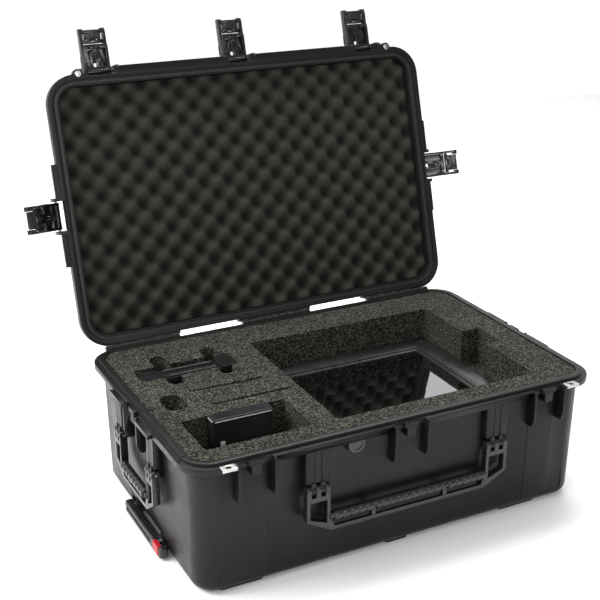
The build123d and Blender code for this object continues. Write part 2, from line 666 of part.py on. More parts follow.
def seal_ring(gap):
    """The seal's groove in the lid, or with a gap the seal itself."""
    z0 = RIM_Z + 0.4 if gap == 0 else RIM_Z + 0.5
    z1 = RIM_Z + 5.0 - gap
    outer = slab(TONGUE_L - 7 - 2 * gap, TONGUE_W - 7 - 2 * gap, TONGUE_R - 4, z0, z1)
    inner = slab(TONGUE_L - 15 + 2 * gap, TONGUE_W - 15 + 2 * gap, TONGUE_R - 8, z0 - 1, z1 + 1)
    return outer - inner


def make_lid_fittings():
    z = RIM_Z
    save("lid_seal", OPEN_LID * seal_ring(0.1))
    foam = leaning((OPEN_L - 4, OPEN_W - 4, OPEN_R - 2), (OPEN_L - 10.6, OPEN_W - 10.6, OPEN_R - 4.3),
                   z + LID_FOAM_GAP, z + LID_DEPTH)
    save("lid_foam", OPEN_LID * foam)
    eyes = []
    for x, y in hasp_places():
        tube = rod(6.0, 15.0, "Z", (x, y, z + 5.6)) - rod(4.8, 20, "Z", (x, y, z + 5))
        eyes.append(OPEN_LID * tube)
    save("lid_padlock_eyes", Compound(children=eyes))
    pins = []
    for station, _ in STATIONS.values():
        pin = rod(LATCH_PIN_R, 2 * 33.5, "X", (0, -PIVOT_OUT, PIVOT_UP))
        pins.append(OPEN_LID * station * pin)
    save("latch_pivot_pins", Compound(children=pins))


def make_base_fittings():
    z = RIM_Z - TONGUE_H
    plates = []
    for x, y in hasp_places():
        plate = pocket(x - 12.5, x + 12.5, y - 7.5, y + 8, z - EYE_PLATE, z, 2)
        plate += pocket(x - 12.5, x + 12.5, y - 7.5, y - 5.7, z - 4.5, z, 0.85)
        plate -= rod(EYE_R, 6, "Z", (x, y, z))
        plates.append(plate)
    save("base_padlock_plates", Compound(children=plates))
    pins = [rod(HINGE_PIN_R, HINGE_SPAN, "X", (x, HINGE_Y, HINGE_Z)) for x in HINGE_X]
    save("hinge_pins", Compound(children=pins))


# ---------------------------------------------------------------- latches
TRIGGER_AXIS = (-6.0, -(LATCH_L - 24.0))  # from the latch's pivot, in Y and Z
TRIGGER_PIN_R = 1.5


def latch_arm():
    """Latch lever, closed: it hangs from its pivot in front of the flange."""
    half = LATCH_W / 2
    rail = [(-6.5, 3), (0, 6.5), (5, 3), (4, -10), (4, -44), (1, -52), (1, -72), (-2, -LATCH_L),
            (-12, -LATCH_L), (-12, -12)]
    arm = None
    for side in (-1, 1):
        x0, x1 = mirrored((half - 5, half), side)
        piece = prism_x(rail, x0, x1)
        arm = piece if arm is None else arm + piece
    arm += rod(5.5, LATCH_W, "X")
    arm += box(-half + 4, half - 4, -12, -8.5, -47, -6)
    arm += box(-half + 4, half - 4, -12, -3, -10, -4)
    arm += box(-2.5, 2.5, -9, -4, -47, -6)
    arm += rod(6.5, 8, "Y", (0, -7, -37))
    arm -= rod(3.8, 6, "Y", (0, -4, -37))
    for side in (-1, 1):
        x0, x1 = mirrored((7.5, 9.5), side)
        arm += box(x0, x1, -9, -5.5, -40, -12)
        x0, x1 = mirrored((half - 4, half + 0.6), side)
        arm += box(x0, x1, -12.5, -9, -30, -12)
    arm -= box(-3, 3, -14, -1, -16.5, -9.5)
    # two hooks under the strike's ledge, joined by a bar in front of its web
    arm += box(-half + 4, half - 4, -11, -3.5, -51.2, -43.4)
    for side in (-1, 1):
        x0, x1 = mirrored((8.5, half - 4), side)
        arm += box(x0, x1, -6, 6, -50, -43.4)
    for side in (-1, 1):
        horn = [(1, -70), (1, -72), (-2, -LATCH_L), (-12, -LATCH_L), (-12, -70)]
        x0, x1 = mirrored((half - 8.5, half - 4), side)
        arm += prism_x(horn, x0, x1)
    arm -= rod(LATCH_PIN_R + 0.05, LATCH_W + 2, "X")
    arm -= rod(TRIGGER_PIN_R + 0.02, LATCH_W - 4, "X", (0, *TRIGGER_AXIS))
    return arm


def latch_trigger():
    """Safety trigger between the latch's rails, near its tip."""
    ty, tz = TRIGGER_AXIS
    outline = [(ty - 7.5, tz + 0.5), (ty - 5, tz + 3.4), (ty + 3.5, tz + 3.4), (ty + 4.5, tz),
               (ty + 4.5, tz - 17), (ty + 2, tz - 22), (ty - 4, tz - 22), (ty - 7.5, tz - 14)]
    block = prism_x(outline, -15.8, 15.8)
    block += box(-19.5, 19.5, ty - 3.4, ty + 3.2, tz - 3.4, tz + 3.4)
    block -= rod(TRIGGER_PIN_R + 0.05, LATCH_W, "X", (0, ty, tz))
    block -= box(-6, 6, ty - 3.2, ty + 6, tz - 5, tz + 4)
    grips = [box(-17, 17, ty + 3.9, ty + 6, tz - 9 - 4 * n, tz - 7.6 - 4 * n) for n in range(3)]
    return block - grips


def torsion_spring():
    ty, tz = TRIGGER_AXIS
    path = Helix(pitch=1.7, height=6.8, radius=2.5)
    coil = sweep(Plane(path @ 0, z_dir=path % 0) * Circle(0.5), path=path, is_frenet=True)
    return Pos(-3.4, ty, tz) * Rot(0, 90, 0) * coil


def make_latches():
    arm = latch_arm()
    trigger = latch_trigger()
    pin = rod(TRIGGER_PIN_R, LATCH_W - 5, "X", (0, *TRIGGER_AXIS))
    spring = torsion_spring()
    for name, (station, angle) in STATIONS.items():
        place = OPEN_LID * station * open_latch(angle) * Pos(0, -PIVOT_OUT, PIVOT_UP)
        save(f"latch_{name}_arm", place * arm)
        save(f"latch_{name}_trigger", place * trigger)
        save(f"latch_{name}_trigger_pin", place * pin)
        save(f"latch_{name}_spring", place * spring)


# ---------------------------------------------------------------- carrying handles
def handle_frame(grip):
    """U-shaped handle hanging from its pins, drawn in its station's frame."""
    inner, outer = grip
    ay, az = HANDLE_AXIS
    back, front = ay + 6.0, ay - 7.0
    low, rail_top = HANDLE_LOW, HANDLE_LOW + 6.5
    bend = 24.0
    top = az - 12
    outline = [(-outer, top), (-outer, low + bend), (-inner + 2, low), (inner - 2, low), (outer, low + bend),
               (outer, top), (inner, top), (inner, low + 24), (inner - 8, rail_top), (-inner + 8, rail_top),
               (-inner, low + 24), (-inner, top)]
    face = Plane.XZ * make_face(Polyline(*outline, close=True))
    frame = Pos(0, back, 0) * extrude(face, back - front, dir=(0, -1, 0))
    frame = soften(frame, 6.0, lambda s: s.edges().filter_by(Axis.Y).group_by(Axis.Z)[0])
    for side in (-1, 1):
        for place in (0, 2, 4):
            x0, x1 = mirrored(leg_segments(inner, outer)[place], side)
            frame += box(x0, x1, ay - 7, ay + 6, az - 13, az)
            frame += rod(8.0, x1 - x0, "X", ((x0 + x1) / 2, ay, az))
        # window in each leg, between its inner post and its outer rail
        corners = ((inner + 5.5, az - 20), (outer - 5.5, az - 20), (outer - 5.5, low + bend + 3),
                   (inner + 5.5, low + 15))
        window = [(side * x, z) for x, z in corners]
        opening = extrude(Plane.XZ * make_face(Polyline(*window, close=True)), 40, both=True)
        frame -= opening
    # the rail is thinner than the legs
    frame -= box(-inner + 8, inner - 8, ay - 1, ay + 7, low - 1, rail_top + 1)
    frame += rod(5.0, 2 * inner + 2, "X", (0, *GRIP_AXIS))
    posts = (-0.46, 0.46)
    for f in posts:
        x = f * inner
        frame += box(x - 3.5, x + 3.5, ay - 6, ay + 3, low + 3, GRIP_AXIS[1])
    for side in (-1, 1):
        x0, x1 = mirrored((inner - 5, outer + 5), side)
        frame -= rod(HANDLE_PIN_R + 0.05, x1 - x0, "X", ((x0 + x1) / 2, ay, az))
    return frame


def handle_grip(grip):
    """Ribbed soft sleeve over the handle's bar."""
    inner = grip[0]
    half = inner - 6.0
    gy, gz = GRIP_AXIS
    count = round(2 * half / 14.5)
    pitch = 2 * half / count
    sleeve = rod(GRIP_R - 1.2, 2 * half, "X", (0, gy, gz))
    for n in range(count):
        middle = -half + (n + 0.5) * pitch
        sleeve += rod(GRIP_R, pitch - 2.4, "X", (middle, gy, gz))
    sleeve -= rod(5.0, 2 * half + 2, "X", (0, gy, gz))
    for f in (-0.46, 0.46):
        sleeve -= box(f * inner - 3.5, f * inner + 3.5, gy - 12, gy + 12, gz - 12, gz)
    return sleeve


def make_handles():
    for name, (station, grip) in HANDLES.items():
        save(f"{name}_handle_frame", station * handle_frame(grip))
        save(f"{name}_handle_grip", station * handle_grip(grip))
        inner, outer = grip
        pins = [station * rod(HANDLE_PIN_R, outer - inner, "X", (s * (inner + outer) / 2, *HANDLE_AXIS))
                for s in (-1, 1)]
        save(f"{name}_handle_pins", Compound(children=pins))


# ---------------------------------------------------------------- pull handle
GRIP_X = (-386.0, -369.6)
BAR_Y = (-98.0, 80.0)
BUTTON_Y = (-90.0, -65.0)


def make_pull_handle():
    gx0, gx1 = GRIP_X
    tubes = []
    guides = []
    start, finish = gx1 - 7, 106.0
    for y in (-TUBE_Y, TUBE_Y):
        tube = rod(TUBE_R, finish - start, "X", ((start + finish) / 2, y, TUBE_Z))
        tubes.append(tube - rod(TUBE_R - 1.5, finish - start + 2, "X", ((start + finish) / 2, y, TUBE_Z)))
        length = CHANNEL_X[1] - CHANNEL_X[0] - 4
        middle = (CHANNEL_X[0] + CHANNEL_X[1]) / 2
        sleeve = box(CHANNEL_X[0] + 2, CHANNEL_X[1] - 2, y - 12, y + 12, FOOT_H, CHANNEL_TOP)
        guides.append(sleeve - rod(TUBE_R + 0.08, length + 2, "X", (middle, y, TUBE_Z)))
    save_group("pull_handle_tubes", tubes)
    save_group("tube_guides", guides)
    y0, y1 = BAR_Y
    bar = pocket(gx0, gx1, y0, y1, 6, 25, 6)
    bar = soften(bar, 3.0, lambda s: s.faces().sort_by(Axis.Z)[-1].edges())
    bar -= box(gx0 - 1, gx0 + 2.2, -52, 68, 11, 20)
    bar += [rod(11.5, 14, "X", (gx1 + 5, y, TUBE_Z)) for y in (-TUBE_Y, TUBE_Y)]
    bar -= [rod(TUBE_R + 0.02, 20, "X", (gx1 + 3, y, TUBE_Z)) for y in (-TUBE_Y, TUBE_Y)]
    b0, b1 = BUTTON_Y
    bar -= box(gx0 - 1, gx1 - 2.4, b0 - 0.4, b1 + 0.4, 8.6, 26)
    save("pull_handle_grip", bar)
    button = pocket(gx0 - 1.6, gx0 + 7, b0, b1, 9, 25.6, 2.5)
    button = soften(button, 1.5, lambda s: s.faces().sort_by(Axis.Z)[-1].edges())
    save("release_button", button)
    coil = Helix(pitch=1.1, height=3.3, radius=3.0)
    wire = sweep(Plane(coil @ 0, z_dir=coil % 0) * Circle(0.35), path=coil, is_frenet=True)
    save("release_spring", Pos(gx0 + 7.4, (b0 + b1) / 2, 16.5) * Rot(0, 90, 0) * wire)
    reach = CHANNEL_W / 2 - 0.5
    cover = pocket(CHANNEL_X[0] + 1, CHANNEL_X[1] - 1, -reach, reach, 0, FOOT_H, 6)
    places = [(x, y) for x in (-300, -100, 100) for y in (-40, 40)]
    cover -= [rod(3.6, 1.6, "Z", (x, y, 0.6)) for x, y in places]
    save("channel_cover", cover)
    save("cover_screws", Compound(children=[rod(3.4, 1.2, "Z", (x, y, 0.7)) for x, y in places]))


# ---------------------------------------------------------------- wheels
def make_wheels():
    axles = []
    for name, y in (("front", -WHEEL_Y), ("rear", WHEEL_Y)):
        at = (WHEEL_X, y, WHEEL_Z)
        tyre = rod(WHEEL_R, WHEEL_W, "Y", at)
        tyre = soften(tyre, 4.0, lambda s: s.edges().filter_by(GeomType.CIRCLE))
        tyre -= rod(27, WHEEL_W + 2, "Y", at)
        hub = rod(27, WHEEL_W - 3, "Y", at)
        for side in (-1, 1):
            dish = rod(22, 5, "Y", (WHEEL_X, y + side * (WHEEL_W / 2 - 2.5), WHEEL_Z))
            dish -= rod(9, 5, "Y", (WHEEL_X, y + side * (WHEEL_W / 2 - 2.5), WHEEL_Z))
            hub -= dish
        hub += rod(8, WHEEL_W + 2.6, "Y", at)
        hub -= rod(AXLE_R + 0.08, WHEEL_W + 8, "Y", at)
        save(f"{name}_wheel_tyre", tyre)
        save(f"{name}_wheel_hub", hub)
        axles.append(rod(AXLE_R, 39, "Y", at))
    save("wheel_axles", Compound(children=axles))


make_base()
make_valve()
make_foam()
make_kit()
make_lid()
make_lid_fittings()
make_base_fittings()
make_latches()
make_handles()
make_pull_handle()
make_wheels()
for node, solid in PARTS.items():
    export_step(solid, f"parts/{node}.step")
print(len(PARTS), "parts")
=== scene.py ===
import json
import math

import bpy
from mathutils import Matrix, Vector, noise


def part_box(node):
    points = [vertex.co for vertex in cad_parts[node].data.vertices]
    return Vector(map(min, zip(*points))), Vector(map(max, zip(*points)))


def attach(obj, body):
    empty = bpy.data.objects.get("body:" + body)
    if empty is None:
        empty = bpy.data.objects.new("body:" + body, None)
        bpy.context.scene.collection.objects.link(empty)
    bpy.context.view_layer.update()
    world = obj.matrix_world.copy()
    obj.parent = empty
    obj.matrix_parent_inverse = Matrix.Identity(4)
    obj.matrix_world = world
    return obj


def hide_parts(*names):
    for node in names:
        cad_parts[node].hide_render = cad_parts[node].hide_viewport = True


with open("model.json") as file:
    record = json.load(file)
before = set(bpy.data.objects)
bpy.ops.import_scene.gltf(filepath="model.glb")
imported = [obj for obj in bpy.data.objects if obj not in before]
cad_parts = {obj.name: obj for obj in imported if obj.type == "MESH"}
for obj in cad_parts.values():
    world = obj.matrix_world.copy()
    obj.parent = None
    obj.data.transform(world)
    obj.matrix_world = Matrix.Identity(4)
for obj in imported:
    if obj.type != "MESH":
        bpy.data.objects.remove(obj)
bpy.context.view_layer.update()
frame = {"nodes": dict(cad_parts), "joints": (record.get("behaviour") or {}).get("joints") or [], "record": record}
NODES = frame["nodes"]
JOINTS = {joint["name"]: joint for joint in frame["joints"]}
MM = 0.001

# ---------------------------------------------------------------- the frame's own sizes
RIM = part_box("base_shell")[1][2]
HINGE = Vector(JOINTS["lid_hinge"]["pos_m"])
LID_OPEN = -math.radians(JOINTS["lid_hinge"]["range_deg"][0])
OPEN_LID = Matrix.Translation(HINGE) @ Matrix.Rotation(-LID_OPEN, 4, "X") @ Matrix.Translation(-HINGE)
CLOSE_LID = OPEN_LID.inverted()


# ---------------------------------------------------------------- node helpers
class Graph:
    """Short names for building one material's node tree."""

    def __init__(self, name):
        self.material = bpy.data.materials.new(name)
        self.material.use_nodes = True
        self.tree = self.material.node_tree
        self.shader = self.tree.nodes["Principled BSDF"]
        self.coords = self.add("ShaderNodeTexCoord").outputs["Object"]
        self.normal = None

    def add(self, kind, links=None, **values):
        node = self.tree.nodes.new(kind)
        for key, value in values.items():
            if hasattr(node, key):
                setattr(node, key, value)
            else:
                node.inputs[key.replace("_", " ")].default_value = value
        for socket, source in (links or {}).items():
            self.tree.links.new(source, node.inputs[socket])
        return node

    def noise(self, scale, detail=3.0, rough=0.55, stretch=None):
        vector = self.coords
        if stretch:
            mapping = self.add("ShaderNodeMapping", {"Vector": vector})
            mapping.inputs["Scale"].default_value = stretch
            vector = mapping.outputs[0]
        node = self.add("ShaderNodeTexNoise", {"Vector": vector})
        node.inputs["Scale"].default_value = scale
        node.inputs["Detail"].default_value = detail
        node.inputs["Roughness"].default_value = rough
        return node.outputs["Fac"]

    def cells(self, scale):
        node = self.add("ShaderNodeTexVoronoi", {"Vector": self.coords}, feature="F1")
        node.inputs["Scale"].default_value = scale
        return node.outputs["Distance"]

    def ramp(self, source, stops):
        node = self.add("ShaderNodeValToRGB", {"Fac": source})
        elements = node.color_ramp.elements
        while len(elements) < len(stops):
            elements.new(0.5)
        for element, (place, colour) in zip(elements, stops):
            element.position = place
            if not isinstance(colour, (tuple, list)):
                colour = (colour, colour, colour)
            element.color = (*colour, 1.0)
        return node.outputs["Color"]

    def mix(self, factor, a, b, blend="MIX"):
        node = self.add("ShaderNodeMix", data_type="RGBA", blend_type=blend)
        for index, value in ((0, factor), (6, a), (7, b)):
            if hasattr(value, "links"):
                self.tree.links.new(value, node.inputs[index])
            elif index == 0:
                node.inputs[index].default_value = value
            else:
                node.inputs[index].default_value = (*value, 1.0)
        return node.outputs[2]

    def math(self, operation, a, b=0.0):
        node = self.add("ShaderNodeMath", operation=operation)
        for index, value in enumerate((a, b)):
            if hasattr(value, "links"):
                self.tree.links.new(value, node.inputs[index])
            else:
                node.inputs[index].default_value = value
        return node.outputs[0]

    def bump(self, height, distance, strength=1.0):
        node = self.add("ShaderNodeBump", {"Height": height})
        node.inputs["Strength"].default_value = strength
        node.inputs["Distance"].default_value = distance
        if self.normal is not None:
            self.tree.links.new(self.normal, node.inputs["Normal"])
        self.normal = node.outputs["Normal"]

    def edges(self, radius):
        """0 on flat faces, rising to 1 along outside corners."""
        rounded = self.add("ShaderNodeBevel", samples=4)
        rounded.inputs["Radius"].default_value = radius
        geometry = self.add("ShaderNodeNewGeometry")
        dot = self.add("ShaderNodeVectorMath", operation="DOT_PRODUCT")
        self.tree.links.new(rounded.outputs[0], dot.inputs[0])
        self.tree.links.new(geometry.outputs["Normal"], dot.inputs[1])
        away = self.math("SUBTRACT", 1.0, dot.outputs["Value"])
        scaled = self.math("MULTIPLY", away, 6.0)
        return self.math("MINIMUM", scaled, 1.0)

    def finish(self, colour=None, rough=None, **constants):
        if colour is not None:
            self.link_or_set("Base Color", colour)
        if rough is not None:
            self.link_or_set("Roughness", rough)
        for key, value in constants.items():
            self.shader.inputs[key.replace("_", " ")].default_value = value
        if self.normal is not None:
            self.tree.links.new(self.normal, self.shader.inputs["Normal"])
        return self.material

    def link_or_set(self, socket, value):
        if hasattr(value, "links"):
            self.tree.links.new(value, self.shader.inputs[socket])
        elif isinstance(value, tuple):
            self.shader.inputs[socket].default_value = (*value, 1.0)
        else:
            self.shader.inputs[socket].default_value = value


# ---------------------------------------------------------------- materials
def moulded(name, dark, light, rough, grain=0.00012, edge=0.05, shine=0.32):
    """Moulded plastic: fine grain, slow tone drift, a painted highlight along the edges and a few fine scuffs."""
    g = Graph(name)
    drift = g.noise(9.0, 4.0)
    base = g.ramp(drift, [(0.3, dark), (0.7, light)])
    scuff = g.noise(160.0, 5.0, 0.7, (1.0, 0.12, 0.3))
    marks = g.ramp(scuff, [(0.62, 0.0), (0.74, 1.0)])
    base = g.mix(g.math("MULTIPLY", marks, 0.10), base, tuple(min(1.0, c * 2.6) for c in light))
    # painted highlight: the colour is lightened along outside edges, standing in for the light that the edges
    # catch
    edge_highlight = g.edges(0.0009)
    base = g.mix(g.math("MULTIPLY", edge_highlight, edge * 6), base, tuple(min(1.0, c * 3.2) for c in light))
    fine = g.cells(1500.0)
    g.bump(fine, grain, 0.55)
    g.bump(g.noise(420.0, 3.0), grain * 1.6, 0.35)
    rough_map = g.ramp(g.noise(34.0, 5.0, 0.6), [(0.25, rough - 0.07), (0.75, rough + 0.08)])
    return g.finish(base, rough_map, Specular_IOR_Level=shine)


def foam(name, dark, mid, light, cell, bump):
    """Cut closed-cell foam: speckled tone, and painted shade in the open cells, which shows as dark specks between
    pale walls.
    """
    g = Graph(name)
    speck = g.noise(cell, 5.0, 0.8)
    base = g.ramp(speck, [(0.4, dark), (0.5, mid), (0.6, light)])
    # painted shade: the colour is darkened at the cell pits, standing in for shade inside the open cells
    pit_shade = g.ramp(g.cells(cell * 1.2), [(0.08, 0.1), (0.4, 1.0)])
    base = g.mix(0.75, base, pit_shade, "MULTIPLY")
    cloud = g.ramp(g.noise(11.0, 3.0), [(0.3, (0.8, 0.8, 0.8)), (0.7, (1.15, 1.15, 1.15))])
    base = g.mix(0.9, base, cloud, "MULTIPLY")
    g.bump(g.cells(cell * 1.3), bump, 1.0)
    g.bump(g.noise(cell * 0.6, 4.0, 0.75), bump * 1.6, 0.8)
    return g.finish(base, 0.95, Specular_IOR_Level=0.04, Sheen_Weight=0.02, Sheen_Roughness=0.6)


def crate_foam(name, hollow_shade, crest):
    """Convoluted foam: painted light on the crests and painted shade in the hollows, a fine open grain all over.
    """
    g = Graph(name)
    height = g.add("ShaderNodeAttribute", attribute_name="lift").outputs["Fac"]
    # painted light and shade: the colour runs from the dark hollow colour to the pale crest colour with the lift
    # height
    base = g.ramp(height, [(0.1, hollow_shade), (0.85, crest)])
    grain = g.ramp(g.noise(900.0, 4.0, 0.8), [(0.36, 0.45), (0.64, 1.5)])
    base = g.mix(0.8, base, grain, "MULTIPLY")
    g.bump(g.cells(1100.0), 0.0003, 0.8)
    return g.finish(base, 0.95, Specular_IOR_Level=0.06, Sheen_Weight=0.04)


def metal(name, tone, rough, stretch, brushed=0.00005):
    """Brushed or drawn metal with lines along one direction."""
    g = Graph(name)
    lines = g.noise(700.0, 3.0, 0.6, stretch)
    base = g.ramp(lines, [(0.3, tuple(c * 0.8 for c in tone)), (0.7, tone)])
    g.bump(lines, brushed, 0.4)
    rough_map = g.ramp(g.noise(60.0, 4.0), [(0.3, rough - 0.06), (0.7, rough + 0.08)])
    return g.finish(base, rough_map, Metallic=1.0)


def glossy_screen():
    """Dark cover glass: nearly a mirror, with faint wiping marks."""
    g = Graph("screen_glass")
    wipe = g.noise(26.0, 5.0, 0.7, (1.0, 0.35, 1.0))
    rough_map = g.ramp(wipe, [(0.35, 0.015), (0.8, 0.07)])
    return g.finish((0.30, 0.31, 0.32), rough_map, Metallic=1.0, Coat_Weight=1.0, Coat_Roughness=0.02)


def rubbery(name, dark, light, rough):
    """Rubber: a soft dark surface, with a painted highlight along its edges."""
    g = Graph(name)
    base = g.ramp(g.noise(60.0, 4.0), [(0.3, dark), (0.7, light)])
    # painted highlight: the colour is lightened along outside edges, standing in for the light that the edges
    # catch
    edge_highlight = g.edges(0.0008)
    base = g.mix(g.math("MULTIPLY", edge_highlight, 0.25), base, tuple(c * 3 for c in light))
    g.bump(g.noise(900.0, 2.0), 0.00006, 0.5)
    rough_map = g.ramp(g.noise(45.0, 4.0), [(0.3, rough - 0.08), (0.7, rough + 0.08)])
    return g.finish(base, rough_map, Specular_IOR_Level=0.5)


def grey(value):
    return (value, value, value)


# edge sets how strong the painted highlight along the edges of the moulded parts is
M = {
    "shell": moulded("shell_plastic", grey(0.0045), grey(0.0075), 0.36, grain=0.0001, shine=0.21),
    "latch": moulded("latch_nylon", grey(0.007), grey(0.011), 0.2, grain=0.00003, shine=0.5),
    "handle": moulded("handle_nylon", grey(0.008), grey(0.012), 0.26, grain=0.00004, edge=0.06, shine=0.5),
    "grip": rubbery("grip_rubber", grey(0.008), grey(0.014), 0.24),
    "seal": rubbery("seal_rubber", grey(0.006), grey(0.010), 0.5),
    "tyre": rubbery("tyre_rubber", grey(0.010), grey(0.018), 0.6),
    "hub": moulded("hub_nylon", grey(0.016), grey(0.026), 0.45),
    "red": moulded("release_red", (0.36, 0.008, 0.016), (0.42, 0.012, 0.022), 0.3,
                   grain=0.00004, edge=0.02, shine=0.4),
    "foam": foam("cut_foam", (0.001, 0.001, 0.0008), (0.016, 0.016, 0.0128), (0.12, 0.12, 0.098),
                 cell=330.0, bump=0.0016),
    # the first colour is painted shade for the hollows, the second painted light for the crests
    "crate": crate_foam("egg_crate_foam", (0.011, 0.011, 0.0093), (0.032, 0.032, 0.027)),
    "steel": metal("ground_steel", (0.42, 0.42, 0.43), 0.3, (1.0, 0.05, 1.0)),
    "padlock": metal("stamped_steel", (0.52, 0.52, 0.5), 0.38, (0.05, 1.0, 1.0)),
    "tube": metal("drawn_tube", (0.6, 0.6, 0.61), 0.28, (0.04, 1.0, 1.0)),
    "chrome": metal("bright_chrome", grey(0.8), 0.12, (1.0, 1.0, 1.0), brushed=0.00001),
    "rail": metal("anodised_rail", (0.42, 0.42, 0.43), 0.3, (0.05, 1.0, 1.0)),
    "bezel": moulded("display_bezel", grey(0.009), grey(0.013), 0.28, grain=0.00004, edge=0.06, shine=0.45),
    "screen": glossy_screen(),
    "charger": moulded("charger_shell", (0.007, 0.007, 0.008), (0.012, 0.012, 0.013), 0.3,
                       grain=0.00006, edge=0.12, shine=0.32),
    "trim": moulded("charger_trim", grey(0.42), grey(0.52), 0.35, grain=0.00004, edge=0.02, shine=0.4),
    "arm": moulded("arm_body", grey(0.004), grey(0.007), 0.42, grain=0.00005, edge=0.08, shine=0.18),
}
BY_SLOT = {
    "shell": "shell", "cut_foam": "foam", "latch": "latch", "pin_steel": "steel", "padlock_steel": "padlock",
    "seal_rubber": "seal", "handle": "handle", "grip_rubber": "grip", "tube_alloy": "tube",
    "release_red": "red",
    "wheel_tyre": "tyre", "wheel_hub": "hub", "display_body": "bezel", "display_glass": "screen",
    "chrome_screw": "chrome", "charger_body": "charger", "charger_trim": "trim", "arm_body": "arm",
    "arm_rail": "rail",
}


# ---------------------------------------------------------------- CAD nodes: materials and softened edges
SLOT_OF = {part["node"]: part["material_slot"] for part in frame["record"]["subparts"]}
SOFT_EDGE = {"shell": 0.45, "latch": 0.5, "handle": 0.8, "grip_rubber": 0.5, "display_body": 0.6,
             "charger_body": 0.5, "arm_body": 0.6, "release_red": 0.5, "wheel_hub": 0.5,
             "padlock_steel": 0.25}


def soften(obj, width):
    """Round the sharp edges a little so that they catch the light."""
    weld = obj.modifiers.new("joined_facets", "WELD")
    weld.merge_threshold = 0.00001
    bevel = obj.modifiers.new("edge_rounding", "BEVEL")
    bevel.width = width * MM
    bevel.segments = 2
    bevel.limit_method = "ANGLE"
    bevel.angle_limit = math.radians(35)
    bevel.use_clamp_overlap = True


def shade(obj, angle):
    """Smooth shading, with edges sharper than the angle left hard."""
    mesh = obj.data
    mesh.polygons.foreach_set("use_smooth", [True] * len(mesh.polygons))
    mesh.set_sharp_from_angle(angle=math.radians(angle))


for node_name, node in NODES.items():
    slot = SLOT_OF[node_name]
    node.data.materials.clear()
    node.data.materials.append(M[BY_SLOT[slot]])


# ---------------------------------------------------------------- soft foam pieces
def new_object(name, mesh, material, body):
    """A visual piece that rides on one body."""
    obj = bpy.data.objects.new(name, mesh)
    bpy.context.scene.collection.objects.link(obj)
    obj.data.materials.clear()
    obj.data.materials.append(M[material])
    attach(obj, body)
    return obj


def egg_crate():
    """Convoluted foam in the lid: rows of rounded peaks with hollows between them."""
    points = [CLOSE_LID @ v.co for v in NODES["lid_foam"].data.vertices]
    low = Vector([min(p[k] for p in points) for k in range(3)])
    high = Vector([max(p[k] for p in points) for k in range(3)])
    margin = 0.0006
    half_x, half_y = high.x - margin, high.y - margin
    corner = 0.030
    pitch_x, pitch_y = 0.051, 0.050
    crest, depth, back = low.z + 0.0004, 0.021, high.z - 0.0004
    nx, ny = ((290, 184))
    verts, faces, lifts = [], [], []

    def half_width(x):
        """Half the slab's width at x, narrowing round the corners."""
        over = abs(x) - (half_x - corner)
        if over <= 0:
            return half_y
        return half_y - corner + math.sqrt(max(0.0, corner**2 - over**2))

    for i in range(nx + 1):
        along = 2 * i / nx - 1
        # columns crowd a little towards the ends, where the corners are round
        x = half_x * math.sin(math.pi / 2 * along) * 0.06 + half_x * along * 0.94
        width = half_width(x)
        for j in range(ny + 1):
            y = width * (2 * j / ny - 1)
            wave = math.cos(2 * math.pi * x / pitch_x) * math.cos(2 * math.pi * y / pitch_y)
            lift = 0.5 + 0.5 * math.copysign(abs(wave) ** 0.95, wave)
            lift = lift ** 0.8
            wobble = 0.0007 * noise.noise(Vector((x, y, 0)) * 38)
            wobble += 0.00025 * noise.noise(Vector((x, y, 1)) * 210)
            verts.append((x, y, crest + depth * (1 - lift) * 0.86 + margin + wobble))
            lifts.append(lift)
    for i in range(nx):
        for j in range(ny):
            a = i * (ny + 1) + j
            faces.append((a, a + 1, a + ny + 2, a + ny + 1))
    rim = list(range(ny + 1))
    rim += [i * (ny + 1) + ny for i in range(1, nx + 1)]
    rim += [nx * (ny + 1) + j for j in range(ny - 1, -1, -1)]
    rim += [i * (ny + 1) for i in range(nx - 1, 0, -1)]
    base = len(verts)
    for index in rim:
        x, y, _ = verts[index]
        verts.append((x, y, back))
        lifts.append(0.0)
    count = len(rim)
    for n in range(count):
        m = (n + 1) % count
        faces.append((rim[n], base + n, base + m, rim[m]))
    faces.append(tuple(base + n for n in reversed(range(count))))
    mesh = bpy.data.meshes.new("egg_crate")
    mesh.from_pydata([OPEN_LID @ Vector(v) for v in verts], [], faces)
    mesh.update()
    # lift also drives the painted light and shade of egg_crate_foam
    mesh.attributes.new("lift", "FLOAT", "POINT").data.foreach_set("value", lifts)
    obj = new_object("lid_egg_crate_foam", mesh, "crate", "lid")
    shade(obj, 50)
    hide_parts("lid_foam")
    return obj


